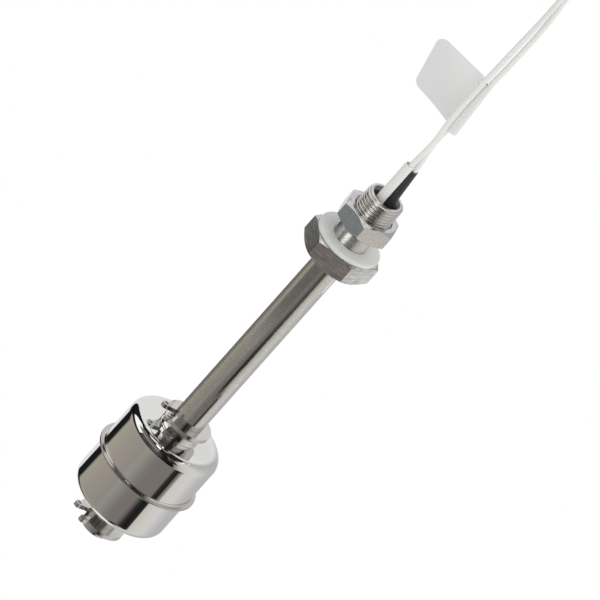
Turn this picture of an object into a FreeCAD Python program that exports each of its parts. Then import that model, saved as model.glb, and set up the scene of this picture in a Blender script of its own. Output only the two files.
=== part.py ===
import FreeCAD, Part
import math
import os

# Float level switch with a stainless stem, a sliding float and two loose leads, in millimetres.
# +Z runs along the stem towards the thread. The origin is on the axis, in the face of the
# mounting hexagon that the gasket seats on. The leads leave the threaded neck upwards.

# Stem: a round tube with a plugged tip and two grooves for the retaining rings.
STEM_R = 6.35
STEM_WALL = 1.65
STEM_TIP_ROUND = 0.6
END_PLUG_THICKNESS = 3.0
TIP_NOTCH_R = 0.55
TIP_NOTCH_AZIMUTH = 262.0

# Retaining rings: flat spring rings with an open slot and a lug with a plier hole on each side.
RING_R = 10.3
RING_THICKNESS = 1.8
RING_GROOVE_DEPTH = 0.5
RING_GROOVE_PLAY = 0.05
RING_SLOT_WIDTH = 5.2
LUG_TIP_R = 11.6
LUG_WIDTH = 3.0
LUG_HOLE_R = 0.85
UPPER_RING_Z = -105.4
STEM_BELOW_LOWER_RING = 3.6
UPPER_RING_AZIMUTH = 210.0
LOWER_RING_AZIMUTH = 218.0

# Mounting fitting: hexagon, threaded neck and the bores through both, turned from one bar.
HEX_ACROSS_FLATS = 27.7
HEX_THICKNESS = 9.4
HEX_LOWER_FACE_R = 13.2
HEX_UPPER_FACE_R = 14.4
HEX_CHAMFER_ANGLE = 30.0
NECK_LENGTH = 25.5
THREAD_R = 8.0
THREAD_END_R = 7.25
RELIEF_R = 7.6
RELIEF_LENGTH = 7.0
RELIEF_SHOULDER = 0.5
SOCKET_PLAY = 0.05
SOCKET_FLOOR_BELOW_SEAT = 1.0
POTTING_WELL_R = 5.9
POTTING_WELL_FLOOR_Z = 1.0
MOUTH_R = 6.3

# Gasket, laid on the hexagon round the neck.
GASKET_R = 14.0
GASKET_THICKNESS = 1.7
GASKET_HOLE_PLAY = 0.2

# Lock nut, running on the neck.
NUT_WALL = 2.95
NUT_THICKNESS = 8.0
NUT_FACE_INSET = 0.4
NUT_ABOVE_SEAT = 9.0
NUT_TURN = 35.9
NUT_THREAD_PLAY = 0.05
NUT_COUNTERSINK = 0.8

# Float: two drawn shells welded at a seam, on an inner tube that slides over the stem.
FLOAT_R = 20.5
FLOAT_HEIGHT = 41.5
FLOAT_BELOW_UPPER_RING = 2.1
FLOAT_ABOVE_LOWER_RING = 6.4
FLOAT_CORNER_R = 4.2
SHELL_WALL = 0.6
SEAM_LIP = 1.9
SEAM_THICKNESS = 0.9
SEAM_EDGE_ROUND = 0.35
SEAM_ROOT_R = 0.6
COLLAR_HEIGHT = 2.6
COLLAR_ROOT_R = 0.8
INNER_TUBE_PLAY = 0.5
INNER_TUBE_WALL = 0.55

# Ring magnet inside the float, loose between two washers on the inner tube.
MAGNET_R = 12.0
MAGNET_HEIGHT = 9.0
MAGNET_PLAY = 0.3
RETAINER_R = 10.5
RETAINER_THICKNESS = 1.5

# Reed switch inside the stem.
REED_ABOVE_MAGNET = 2.0
REED_GLASS_R = 1.25
REED_GLASS_WALL = 0.35
REED_GLASS_LENGTH = 14.0
REED_GLASS_END = 2.0
REED_GLASS_ROUND = 0.6
REED_PIN_R = 0.3
REED_PIN_LENGTH = 4.0
BLADE_THICKNESS = 0.3
BLADE_WIDTH = 1.2
BLADE_OVERLAP = 2.0
CONTACT_GAP = 0.15
RETURN_PIN_DEPTH = 3.0
JOINT_R = 0.7
JOINT_LENGTH = 4.0
REED_SLEEVE_WALL = 0.35
REED_SLEEVE_OVERHANG = 3.0
RESIN_ABOVE_REED = 8.0

# Resin in the neck, and the two sleeves that stand in it.
POTTING_TOP_Z = 22.5
POTTING_RIM_RISE = 0.7
SLEEVE_FOOT_Z = 12.0
WHITE_SLEEVE_R = 1.95
WHITE_SLEEVE_WALL = 0.4
WHITE_SLEEVE_X = -1.7
WHITE_SLEEVE_Y = -1.4
WHITE_SLEEVE_TOP_Z = 43.3
BLACK_SLEEVE_R = 1.75
BLACK_SLEEVE_WALL = 0.3
BLACK_SLEEVE_FOOT_X = 3.16
BLACK_SLEEVE_TOP_X = 0.87
BLACK_SLEEVE_Y = 1.37
BLACK_SLEEVE_TOP_Z = 41.1

# Leads: two insulated wires of the same make, each ending in a folded hank.
LEAD_R = 1.1
HANK_X = -7.3
HANK_BOTTOM_Z = 152.0
HANK_RUN = 34.0
HANK_FOLD_R = 6.6
HANK_LAYERS = 2
HANK_LAYER_Y = 1.25
HANK_EDGE_ROUND = 0.9
HANK_TAIL = 7.0
WIRE_CORE_R = 0.55
WIRE_CORE_LENGTH = 7.0
WIRE_CORE_ROUND = 0.2
TIE_WIDTH = 3.6
TIE_THICKNESS = 0.9
TIE_ROUND = 1.6
TIE_HEAD = 4.0
ARC_SHARE = 0.45

# Route of each lead from the resin to its hank, point by point.
LEAD_A_ROUTE = [
    (-1.7, -1.4, 22.5),
    (-1.65, -1.4, 32.5),
    (-1.3, -1.4, 44.0),
    (-0.8, -1.42, 52.0),
    (-0.6, -1.42, 59.0),
    (-1.7, -1.4, 69.0),
    (-1.65, -1.38, 86.0),
    (-1.2, -1.34, 106.0),
    (-0.5, -1.3, 129.0),
    (-0.7, -1.25, 152.0),
]
LEAD_B_ROUTE = [
    (2.33, 1.37, 22.5),
    (1.48, 1.38, 32.8),
    (1.1, 1.42, 43.5),
    (-0.1, 1.5, 52.0),
    (-0.5, 1.55, 60.0),
    (0.6, 1.55, 70.0),
    (0.75, 1.53, 84.0),
    (1.6, 1.45, 104.0),
    (1.9, 1.35, 128.5),
    (-0.7, 1.25, 152.0),
]

# Label: a strip wrapped round lead B and stuck to itself as a flag behind lead A.
LABEL_PLY = 0.2
FLAG_THICKNESS = 0.3
LABEL_Y = 1.55
LABEL_BOTTOM_Z = 64.2
LABEL_TOP_Z = 89.5
WRAP_BOTTOM = (1.05, 2.65, 1.52)
WRAP_TOP = (0.8, 1.45, 1.42)
FLAG_BOTTOM_Z = 66.0
FLAG_TOP_Z = 91.2
FLAG_BOTTOM_CURVE = [(-1.2, 1.2), (-9.7, 4.8), (-22.6, 7.7)]
FLAG_TOP_CURVE = [(-0.4, 1.2), (-13.0, 2.5), (-27.0, 3.9)]
FLAG_OUTER_TOP_X = -26.0
FLAG_OUTER_BOTTOM_X = -21.4
FLAG_CORNER_R = 3.6
FLAG_DEPTH = 14.0

# Places that follow from the sizes above.
AXIS = FreeCAD.Vector(0, 0, 1)
ORIGIN = FreeCAD.Vector(0, 0, 0)
STEM_BORE_R = STEM_R - STEM_WALL
STEM_TOP_Z = -SOCKET_FLOOR_BELOW_SEAT
GROOVE_R = STEM_R - RING_GROOVE_DEPTH
INNER_TUBE_BORE_R = STEM_R + INNER_TUBE_PLAY
INNER_TUBE_R = INNER_TUBE_BORE_R + INNER_TUBE_WALL
COLLAR_R = INNER_TUBE_R + SHELL_WALL
SEAM_R = FLOAT_R + SEAM_LIP
NUT_BORE_R = THREAD_R + NUT_THREAD_PLAY
NUT_ACROSS_FLATS = 2 * (NUT_BORE_R + NUT_WALL)
NUT_FACE_R = NUT_ACROSS_FLATS / 2 - NUT_FACE_INSET
FLOAT_MID_Z = UPPER_RING_Z - FLOAT_BELOW_UPPER_RING - COLLAR_HEIGHT - FLOAT_HEIGHT / 2
FLOAT_END_Z = FLOAT_MID_Z - FLOAT_HEIGHT / 2 - COLLAR_HEIGHT
LOWER_RING_Z = FLOAT_END_Z - FLOAT_ABOVE_LOWER_RING - RING_THICKNESS
STEM_TIP_Z = LOWER_RING_Z - STEM_BELOW_LOWER_RING
REED_MID_Z = FLOAT_MID_Z + REED_ABOVE_MAGNET
REED_TOP_Z = REED_MID_Z + REED_GLASS_LENGTH / 2
REED_BOTTOM_Z = REED_MID_Z - REED_GLASS_LENGTH / 2
UPPER_JOINT_Z = REED_TOP_Z + REED_PIN_LENGTH - JOINT_LENGTH / 2
LOWER_JOINT_Z = REED_BOTTOM_Z - JOINT_LENGTH / 2
REED_X = WHITE_SLEEVE_X
REED_Y = WHITE_SLEEVE_Y
RETURN_X = BLACK_SLEEVE_FOOT_X
RETURN_Y = BLACK_SLEEVE_Y
BLACK_FOOT = FreeCAD.Vector(BLACK_SLEEVE_FOOT_X, BLACK_SLEEVE_Y, SLEEVE_FOOT_Z)
BLACK_TOP = FreeCAD.Vector(BLACK_SLEEVE_TOP_X, BLACK_SLEEVE_Y, BLACK_SLEEVE_TOP_Z)
HANK_DEPTH = HANK_LAYERS * 2 * LEAD_R
HANK_INNER_Y = HANK_LAYER_Y - LEAD_R
HANK_TAIL_Y = HANK_LAYER_Y + (HANK_LAYERS - 1) * 2 * LEAD_R
HANK_TAIL_X = HANK_X - HANK_FOLD_R
TAIL_END_Z = HANK_BOTTOM_Z - HANK_TAIL
TIE_Z = HANK_BOTTOM_Z + HANK_RUN / 2


def cylinder(radius, bottom, top, x=0.0, y=0.0):
    """Upright cylinder between two heights."""
    return Part.makeCylinder(radius, top - bottom, FreeCAD.Vector(x, y, bottom))


def ring(outer, inner, bottom, top, x=0.0, y=0.0):
    """Upright tube between two heights."""
    return cylinder(outer, bottom, top, x, y).cut(cylinder(inner, bottom, top, x, y))


def lathe(outline):
    """Solid of revolution. A step of the outline is (r, z), or ((r, z), (r, z)) for an arc."""
    edges = []
    start = FreeCAD.Vector(outline[0][0], 0, outline[0][1])
    place = start
    for step in outline[1:] + [outline[0]]:
        if isinstance(step[0], tuple):
            middle = FreeCAD.Vector(step[0][0], 0, step[0][1])
            end = FreeCAD.Vector(step[1][0], 0, step[1][1])
            edges.append(Part.Arc(place, middle, end).toShape())
        else:
            end = FreeCAD.Vector(step[0], 0, step[1])
            edges.append(Part.LineSegment(place, end).toShape())
        place = end
    face = Part.Face(Part.Wire(edges))
    return face.revolve(ORIGIN, AXIS, 360)


def corner_arc(centre, radius, middle_angle, end_angle):
    """Arc step of a lathe outline, by its centre, radius and the angles of two of its points."""
    points = []
    for angle in (middle_angle, end_angle):
        turn = math.radians(angle)
        points.append((centre[0] + radius * math.cos(turn), centre[1] + radius * math.sin(turn)))
    return tuple(points)


def hexagon(across_flats, bottom, top, turn):
    """Upright hexagonal bar with a corner at the given azimuth."""
    corner_r = across_flats / 2 / math.cos(math.pi / 6)
    corners = []
    for step in range(7):
        angle = math.radians(turn) + math.pi / 3 * step
        corners.append(FreeCAD.Vector(corner_r * math.cos(angle), corner_r * math.sin(angle), bottom))
    return Part.Face(Part.makePolygon(corners)).extrude(FreeCAD.Vector(0, 0, top - bottom))


def chamfered_hexagon(across_flats, bottom, top, turn, lower_face_r, upper_face_r):
    """Hexagonal bar whose corners are turned off by a cone at each face."""
    corner_r = across_flats / 2 / math.cos(math.pi / 6)
    slope = math.tan(math.radians(HEX_CHAMFER_ANGLE))
    cone = lathe([
        (0, bottom),
        (lower_face_r, bottom),
        (corner_r, bottom + (corner_r - lower_face_r) * slope),
        (corner_r, top - (corner_r - upper_face_r) * slope),
        (upper_face_r, top),
        (0, top),
    ])
    return hexagon(across_flats, bottom, top, turn).common(cone)


def rounded_path(points, name):
    """Straight runs joined by tangent arcs, each as large as its two runs allow."""
    places = [FreeCAD.Vector(*point) for point in points]
    edges = []
    radii = []
    place = places[0]
    for before, corner, after in zip(places, places[1:], places[2:]):
        into = (corner - before).normalize()
        out = (after - corner).normalize()
        turn = into.getAngle(out)
        shorter = min((corner - before).Length, (after - corner).Length)
        radius = ARC_SHARE * shorter / math.tan(turn / 2)
        arc_start = corner - into * (ARC_SHARE * shorter)
        arc_end = corner + out * (ARC_SHARE * shorter)
        inward = (out - into).normalize()
        middle = corner + inward * (radius / math.cos(turn / 2) - radius)
        edges.append(Part.LineSegment(place, arc_start).toShape())
        edges.append(Part.Arc(arc_start, middle, arc_end).toShape())
        radii.append(radius)
        place = arc_end
    edges.append(Part.LineSegment(place, places[-1]).toShape())
    if name:
        print(name, "radii", [round(radius, 1) for radius in radii])
    return Part.Wire(edges)


def round_tube(points, radius, name=""):
    """Solid round wire along a route of points."""
    path = rounded_path(points, name)
    start = FreeCAD.Vector(*points[0])
    circle = Part.Circle(start, FreeCAD.Vector(*points[1]) - start, radius)
    section = Part.Face(Part.Wire(circle.toShape()))
    solid = path.makePipe(section)
    if name:
        share = solid.Volume / (math.pi * radius * radius * path.Length)
        print(name, "length", round(path.Length, 1), "volume over section times length", round(share, 4))
    return solid


def stem_tube():
    """Tube from the socket in the hexagon down to the tip, with its two ring grooves."""
    inset = STEM_TIP_ROUND * (1 - math.sqrt(0.5))
    tube = lathe([
        (STEM_BORE_R, STEM_TIP_Z),
        (STEM_R - STEM_TIP_ROUND, STEM_TIP_Z),
        ((STEM_R - inset, STEM_TIP_Z + inset), (STEM_R, STEM_TIP_Z + STEM_TIP_ROUND)),
        (STEM_R, STEM_TOP_Z),
        (STEM_BORE_R, STEM_TOP_Z),
    ])
    for ring_z in (UPPER_RING_Z, LOWER_RING_Z):
        low = ring_z - RING_GROOVE_PLAY
        high = ring_z + RING_THICKNESS + RING_GROOVE_PLAY
        tube = tube.cut(ring(STEM_R + RING_GROOVE_DEPTH, GROOVE_R, low, high))
    angle = math.radians(TIP_NOTCH_AZIMUTH)
    notch = FreeCAD.Vector(STEM_R * math.cos(angle), STEM_R * math.sin(angle), STEM_TIP_Z)
    return tube.cut(Part.makeSphere(TIP_NOTCH_R, notch))


def stem_end_plug():
    """Disc welded into the tip of the tube."""
    return cylinder(STEM_BORE_R, STEM_TIP_Z, STEM_TIP_Z + END_PLUG_THICKNESS)


def retaining_ring(bottom, azimuth):
    """Spring ring with an open slot, and a rounded lug with a plier hole on each side of it."""
    top = bottom + RING_THICKNESS
    body = cylinder(RING_R, bottom, top)
    lug_r = LUG_WIDTH / 2
    lug_x = LUG_TIP_R - lug_r
    holes = []
    for side in (-1, 1):
        lug_y = side * (RING_SLOT_WIDTH / 2 + lug_r)
        corner = FreeCAD.Vector(GROOVE_R, lug_y - lug_r, bottom)
        body = body.fuse(Part.makeBox(lug_x - GROOVE_R, LUG_WIDTH, RING_THICKNESS, corner))
        body = body.fuse(cylinder(lug_r, bottom, top, lug_x, lug_y))
        holes.append(cylinder(LUG_HOLE_R, bottom, top, lug_x, lug_y))
    slot_corner = FreeCAD.Vector(0, -RING_SLOT_WIDTH / 2, bottom)
    slot = Part.makeBox(LUG_TIP_R, RING_SLOT_WIDTH, RING_THICKNESS, slot_corner)
    body = body.cut([cylinder(GROOVE_R, bottom, top), slot] + holes).removeSplitter()
    body.rotate(ORIGIN, AXIS, azimuth)
    return body


def mounting_fitting():
    """Hexagon and threaded neck in one piece, bored for the stem, the leads and the resin."""
    bar = chamfered_hexagon(HEX_ACROSS_FLATS, -HEX_THICKNESS, 0, 0, HEX_LOWER_FACE_R, HEX_UPPER_FACE_R)
    neck = lathe([
        (0, -HEX_THICKNESS / 2),
        (RELIEF_R, -HEX_THICKNESS / 2),
        (RELIEF_R, RELIEF_LENGTH),
        (THREAD_R, RELIEF_LENGTH + RELIEF_SHOULDER),
        (THREAD_R, NECK_LENGTH - (THREAD_R - THREAD_END_R)),
        (THREAD_END_R, NECK_LENGTH),
        (0, NECK_LENGTH),
    ])
    bores = lathe([
        (0, -HEX_THICKNESS),
        (STEM_R + SOCKET_PLAY, -HEX_THICKNESS),
        (STEM_R + SOCKET_PLAY, STEM_TOP_Z),
        (STEM_BORE_R, STEM_TOP_Z),
        (STEM_BORE_R, POTTING_WELL_FLOOR_Z),
        (POTTING_WELL_R, POTTING_WELL_FLOOR_Z),
        (POTTING_WELL_R, NECK_LENGTH - (MOUTH_R - POTTING_WELL_R)),
        (MOUTH_R, NECK_LENGTH),
        (0, NECK_LENGTH),
    ])
    return bar.fuse(neck).cut(bores)


def sealing_gasket():
    """Flat ring on the hexagon."""
    return ring(GASKET_R, RELIEF_R + GASKET_HOLE_PLAY, 0, GASKET_THICKNESS)


def lock_nut():
    """Hexagonal nut with both faces turned off and a countersunk bore."""
    bottom = NUT_ABOVE_SEAT
    top = bottom + NUT_THICKNESS
    wide_r = NUT_BORE_R + NUT_COUNTERSINK
    bar = chamfered_hexagon(NUT_ACROSS_FLATS, bottom, top, NUT_TURN, NUT_FACE_R, NUT_FACE_R)
    bore = lathe([
        (0, bottom),
        (wide_r, bottom),
        (NUT_BORE_R, bottom + NUT_COUNTERSINK),
        (NUT_BORE_R, top - NUT_COUNTERSINK),
        (wide_r, top),
        (0, top),
    ])
    return bar.cut(bore)


def float_shell(side):
    """Drawn half shell with its seam flange and neck. The side is 1 above the seam, -1 below."""
    half = FLOAT_HEIGHT / 2
    flange = SEAM_THICKNESS / 2
    seam_centre = (SEAM_R - SEAM_EDGE_ROUND, flange - SEAM_EDGE_ROUND)
    seam_root = (FLOAT_R + SEAM_ROOT_R, flange + SEAM_ROOT_R)
    corner = (FLOAT_R - FLOAT_CORNER_R, half - FLOAT_CORNER_R)
    root = (COLLAR_R + COLLAR_ROOT_R, half + COLLAR_ROOT_R)
    shell = lathe([
        (SEAM_R, 0),
        (SEAM_R, flange - SEAM_EDGE_ROUND),
        corner_arc(seam_centre, SEAM_EDGE_ROUND, 45, 90),
        (FLOAT_R + SEAM_ROOT_R, flange),
        corner_arc(seam_root, SEAM_ROOT_R, 225, 180),
        (FLOAT_R, half - FLOAT_CORNER_R),
        corner_arc(corner, FLOAT_CORNER_R, 45, 90),
        (COLLAR_R + COLLAR_ROOT_R, half),
        corner_arc(root, COLLAR_ROOT_R, 225, 180),
        (COLLAR_R, half + COLLAR_HEIGHT),
        (INNER_TUBE_R, half + COLLAR_HEIGHT),
        (INNER_TUBE_R, half - SHELL_WALL),
        (FLOAT_R - FLOAT_CORNER_R, half - SHELL_WALL),
        corner_arc(corner, FLOAT_CORNER_R - SHELL_WALL, 45, 0),
        (FLOAT_R - SHELL_WALL, 0),
    ])
    if side < 0:
        shell = shell.mirror(ORIGIN, AXIS)
    shell.translate(FreeCAD.Vector(0, 0, FLOAT_MID_Z))
    return shell


def float_inner_tube():
    """Tube through the float, its ends flush with the necks of both shells."""
    reach = FLOAT_HEIGHT / 2 + COLLAR_HEIGHT
    return ring(INNER_TUBE_R, INNER_TUBE_BORE_R, FLOAT_MID_Z - reach, FLOAT_MID_Z + reach)


def ring_magnet():
    """Ring magnet at the middle of the float."""
    inner = INNER_TUBE_R + MAGNET_PLAY
    return ring(MAGNET_R, inner, FLOAT_MID_Z - MAGNET_HEIGHT / 2, FLOAT_MID_Z + MAGNET_HEIGHT / 2)


def magnet_retainer(side):
    """Washer pressed on the inner tube, just clear of the magnet."""
    near = FLOAT_MID_Z + side * (MAGNET_HEIGHT / 2 + MAGNET_PLAY)
    far = near + side * RETAINER_THICKNESS
    return ring(RETAINER_R, INNER_TUBE_R, min(near, far), max(near, far))


def reed_glass(contacts):
    """Sealed glass tube, closed round both contact pins."""
    glass = cylinder(REED_GLASS_R, REED_BOTTOM_Z, REED_TOP_Z, REED_X, REED_Y)
    rims = [edge for edge in glass.Edges if isinstance(edge.Curve, Part.Circle)]
    glass = glass.makeFillet(REED_GLASS_ROUND, rims)
    low = REED_BOTTOM_Z + REED_GLASS_END
    high = REED_TOP_Z - REED_GLASS_END
    return glass.cut([cylinder(REED_GLASS_R - REED_GLASS_WALL, low, high, REED_X, REED_Y)] + contacts)


def reed_blade(side):
    """Flat springy blade of one contact. The side is 1 for the upper one, -1 for the lower one."""
    tip = REED_MID_Z - side * BLADE_OVERLAP / 2
    root = REED_MID_Z + side * (REED_GLASS_LENGTH / 2 - REED_GLASS_END)
    middle_x = REED_X - side * (CONTACT_GAP + BLADE_THICKNESS) / 2
    corner = FreeCAD.Vector(middle_x - BLADE_THICKNESS / 2, REED_Y - BLADE_WIDTH / 2, min(tip, root))
    return Part.makeBox(BLADE_THICKNESS, BLADE_WIDTH, abs(root - tip), corner)


def reed_contact_upper():
    """Upper blade and the straight pin that leads out of the glass."""
    low = REED_TOP_Z - REED_GLASS_END
    pin = cylinder(REED_PIN_R, low - REED_PIN_R, REED_TOP_Z + REED_PIN_LENGTH, REED_X, REED_Y)
    return reed_blade(1).fuse(pin)


def reed_contact_lower():
    """Lower blade, and its pin bent round beside the glass to meet the returning wire."""
    start = REED_BOTTOM_Z + REED_GLASS_END + REED_PIN_R
    turn_z = LOWER_JOINT_Z - JOINT_LENGTH - RETURN_PIN_DEPTH
    pin = round_tube([
        (REED_X, REED_Y, start),
        (REED_X, REED_Y, turn_z),
        (RETURN_X, RETURN_Y, turn_z),
        (RETURN_X, RETURN_Y, LOWER_JOINT_Z),
    ], REED_PIN_R)
    return reed_blade(-1).fuse(pin)


def upper_solder_joint(contact):
    """Joint between the upper pin and lead A."""
    return cylinder(JOINT_R, UPPER_JOINT_Z, UPPER_JOINT_Z + JOINT_LENGTH, REED_X, REED_Y).cut(contact)


def lower_solder_joint(contact):
    """Joint between the returning pin and lead B."""
    low = LOWER_JOINT_Z - JOINT_LENGTH / 2
    return cylinder(JOINT_R, low, low + JOINT_LENGTH, RETURN_X, RETURN_Y).cut(contact)


def reed_sleeve():
    """Shrunk sleeve over the glass, longer than it at both ends."""
    low = REED_BOTTOM_Z - REED_SLEEVE_OVERHANG
    high = REED_TOP_Z + REED_SLEEVE_OVERHANG
    return ring(REED_GLASS_R + REED_SLEEVE_WALL, REED_GLASS_R, low, high, REED_X, REED_Y)


def inner_lead_a():
    """Lead A inside the stem and the resin."""
    return cylinder(LEAD_R, UPPER_JOINT_Z + JOINT_LENGTH, POTTING_TOP_Z, WHITE_SLEEVE_X, WHITE_SLEEVE_Y)


def inner_lead_b():
    """Lead B inside the stem, leaning with its sleeve once it is in the resin."""
    low = LOWER_JOINT_Z + JOINT_LENGTH / 2
    share = (POTTING_TOP_Z - BLACK_FOOT.z) / (BLACK_TOP.z - BLACK_FOOT.z)
    leaves = BLACK_FOOT + (BLACK_TOP - BLACK_FOOT) * share
    return round_tube([(RETURN_X, RETURN_Y, low), tuple(BLACK_FOOT), tuple(leaves)], LEAD_R)


def stem_resin(embedded):
    """Resin that fills the foot of the stem round the reed switch."""
    low = STEM_TIP_Z + END_PLUG_THICKNESS
    return cylinder(STEM_BORE_R, low, REED_TOP_Z + RESIN_ABOVE_REED).cut(embedded)


def sleeve(foot, top, radius, wall):
    """Thin tube between two points."""
    along = top - foot
    outer = Part.makeCylinder(radius, along.Length, foot, along)
    return outer.cut(Part.makeCylinder(radius - wall, along.Length, foot, along))


def white_sleeve():
    """Sleeve of lead A, upright."""
    foot = FreeCAD.Vector(WHITE_SLEEVE_X, WHITE_SLEEVE_Y, SLEEVE_FOOT_Z)
    top = FreeCAD.Vector(WHITE_SLEEVE_X, WHITE_SLEEVE_Y, WHITE_SLEEVE_TOP_Z)
    return sleeve(foot, top, WHITE_SLEEVE_R, WHITE_SLEEVE_WALL)


def black_sleeve():
    """Sleeve of lead B, leaning towards the other one."""
    return sleeve(BLACK_FOOT, BLACK_TOP, BLACK_SLEEVE_R, BLACK_SLEEVE_WALL)


def neck_potting(leads):
    """Resin in the neck, drawn up at the wall, with the sleeves and the leads standing in it."""
    meniscus = (POTTING_WELL_R - POTTING_RIM_RISE, POTTING_TOP_Z + POTTING_RIM_RISE)
    body = lathe([
        (0, POTTING_WELL_FLOOR_Z),
        (POTTING_WELL_R, POTTING_WELL_FLOOR_Z),
        (POTTING_WELL_R, POTTING_TOP_Z + POTTING_RIM_RISE),
        corner_arc(meniscus, POTTING_RIM_RISE, -45, -90),
        (0, POTTING_TOP_Z),
    ])
    above = POTTING_TOP_Z + 2 * POTTING_RIM_RISE
    white = cylinder(WHITE_SLEEVE_R, SLEEVE_FOOT_Z, above, WHITE_SLEEVE_X, WHITE_SLEEVE_Y)
    along = BLACK_TOP - BLACK_FOOT
    black = Part.makeCylinder(BLACK_SLEEVE_R, along.Length, BLACK_FOOT, along)
    return body.cut([white, black] + leads)


def racetrack(fold_r, low, high):
    """Upright slab of the shape of a folded loop, between two depths along Y."""
    depth = FreeCAD.Vector(0, high - low, 0)
    top_z = HANK_BOTTOM_Z + HANK_RUN
    right_low = FreeCAD.Vector(HANK_X + fold_r, low, HANK_BOTTOM_Z)
    right_high = FreeCAD.Vector(HANK_X + fold_r, low, top_z)
    left_low = FreeCAD.Vector(HANK_X - fold_r, low, HANK_BOTTOM_Z)
    left_high = FreeCAD.Vector(HANK_X - fold_r, low, top_z)
    outline = Part.Wire([
        Part.LineSegment(right_low, right_high).toShape(),
        Part.Arc(right_high, FreeCAD.Vector(HANK_X, low, top_z + fold_r), left_high).toShape(),
        Part.LineSegment(left_high, left_low).toShape(),
        Part.Arc(left_low, FreeCAD.Vector(HANK_X, low, HANK_BOTTOM_Z - fold_r), right_low).toShape(),
    ])
    return Part.Face(outline).extrude(depth)


def lead_hank(side, lead):
    """Folded turns of one lead and its short tail. The side is -1 for lead A, 1 for lead B."""
    low = min(side * HANK_INNER_Y, side * (HANK_INNER_Y + HANK_DEPTH))
    outer = racetrack(HANK_FOLD_R + LEAD_R, low, low + HANK_DEPTH)
    outer = outer.makeFillet(HANK_EDGE_ROUND, face_edges(outer, low, HANK_DEPTH))
    turns = outer.cut(racetrack(HANK_FOLD_R - LEAD_R, low, low + HANK_DEPTH))
    tail = cylinder(LEAD_R, TAIL_END_Z, HANK_BOTTOM_Z, HANK_TAIL_X, side * HANK_TAIL_Y)
    return turns.fuse(tail).cut(lead)


def face_edges(slab, low, depth):
    """Edges of a slab's two flat sides."""
    sides = (low, low + depth)
    tolerance = depth / 1000
    chosen = []
    for edge in slab.Edges:
        box = edge.BoundBox
        flat = box.YMax - box.YMin < tolerance
        if flat and any(abs(box.YMin - side) < tolerance for side in sides):
            chosen.append(edge)
    return chosen


def hank_tie():
    """Strap round both hanks, with its small square lock."""
    half_x = HANK_FOLD_R + LEAD_R
    half_y = HANK_INNER_Y + HANK_DEPTH
    bottom = TIE_Z - TIE_WIDTH / 2
    outer = upright_box(half_x + TIE_THICKNESS, half_y + TIE_THICKNESS, bottom, TIE_WIDTH, TIE_ROUND)
    inner = upright_box(half_x, half_y, bottom, TIE_WIDTH, HANK_EDGE_ROUND)
    corner = FreeCAD.Vector(HANK_X - TIE_HEAD / 2, -half_y - TIE_HEAD / 2 - TIE_THICKNESS, TIE_Z - TIE_HEAD / 2)
    lock = Part.makeBox(TIE_HEAD, TIE_HEAD / 2 + TIE_THICKNESS, TIE_HEAD, corner)
    return outer.cut(inner).fuse(lock)


def upright_box(half_x, half_y, bottom, height, corner_r):
    """Box about the middle of the hanks with its upright edges rounded."""
    corner = FreeCAD.Vector(HANK_X - half_x, -half_y, bottom)
    box = Part.makeBox(2 * half_x, 2 * half_y, height, corner)
    upright = [edge for edge in box.Edges if edge.BoundBox.ZLength > height / 2]
    return box.makeFillet(corner_r, upright)


def wire_end(side):
    """Bare tinned core at the end of a lead."""
    core = cylinder(WIRE_CORE_R, TAIL_END_Z - WIRE_CORE_LENGTH, TAIL_END_Z, HANK_TAIL_X, side * HANK_TAIL_Y)
    tip = [edge for edge in core.Edges if edge.BoundBox.ZMax < TAIL_END_Z - WIRE_CORE_LENGTH / 2]
    return core.makeFillet(WIRE_CORE_ROUND, tip)


def oval_tube(bottom, top, less):
    """Solid oval column along lead B. An oval is its middle x, half width and half depth."""
    rims = []
    for (middle, half_x, half_y), z in ((bottom, LABEL_BOTTOM_Z), (top, LABEL_TOP_Z)):
        centre = FreeCAD.Vector(middle, LABEL_Y, z)
        wide = centre + FreeCAD.Vector(half_x - less, 0, 0)
        deep = centre + FreeCAD.Vector(0, half_y - less, 0)
        rims.append(Part.Wire(Part.Ellipse(wide, deep, centre).toShape()))
    return Part.makeLoft(rims, True, True)


def flag_section(curve, z):
    """Thin bent strip at one height, from the three points of its near side."""
    near = [FreeCAD.Vector(x, y, z) for x, y in curve]
    far = [point + FreeCAD.Vector(0, FLAG_THICKNESS, 0) for point in near]
    return Part.Wire([
        Part.Arc(*near).toShape(),
        Part.LineSegment(near[2], far[2]).toShape(),
        Part.Arc(far[2], far[1], far[0]).toShape(),
        Part.LineSegment(far[0], near[0]).toShape(),
    ])


def flag_outline():
    """Slab through the flag with the outline of the label, its two free corners rounded."""
    root_x = FLAG_TOP_CURVE[0][0]
    corners = [
        (root_x, FLAG_BOTTOM_Z),
        (root_x, FLAG_TOP_Z),
        (FLAG_OUTER_TOP_X, FLAG_TOP_Z),
        (FLAG_OUTER_BOTTOM_X, FLAG_BOTTOM_Z),
        (root_x, FLAG_BOTTOM_Z),
    ]
    wire = Part.makePolygon([FreeCAD.Vector(x, -FLAG_DEPTH / 2, z) for x, z in corners])
    slab = Part.Face(wire).extrude(FreeCAD.Vector(0, 2 * FLAG_DEPTH, 0))
    free = []
    for edge in slab.Edges:
        box = edge.BoundBox
        if box.YLength > FLAG_DEPTH and box.XMax < FLAG_OUTER_BOTTOM_X / 2:
            free.append(edge)
    return slab.makeFillet(FLAG_CORNER_R, free)


def label_flag():
    """Label wrapped round lead B and stuck to itself."""
    wrap = oval_tube(WRAP_BOTTOM, WRAP_TOP, 0)
    hollow = oval_tube(WRAP_BOTTOM, WRAP_TOP, LABEL_PLY)
    sections = [flag_section(FLAG_BOTTOM_CURVE, FLAG_BOTTOM_Z), flag_section(FLAG_TOP_CURVE, FLAG_TOP_Z)]
    flag = Part.makeLoft(sections, True, True).common(flag_outline())
    return wrap.fuse(flag).cut(hollow)


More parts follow.
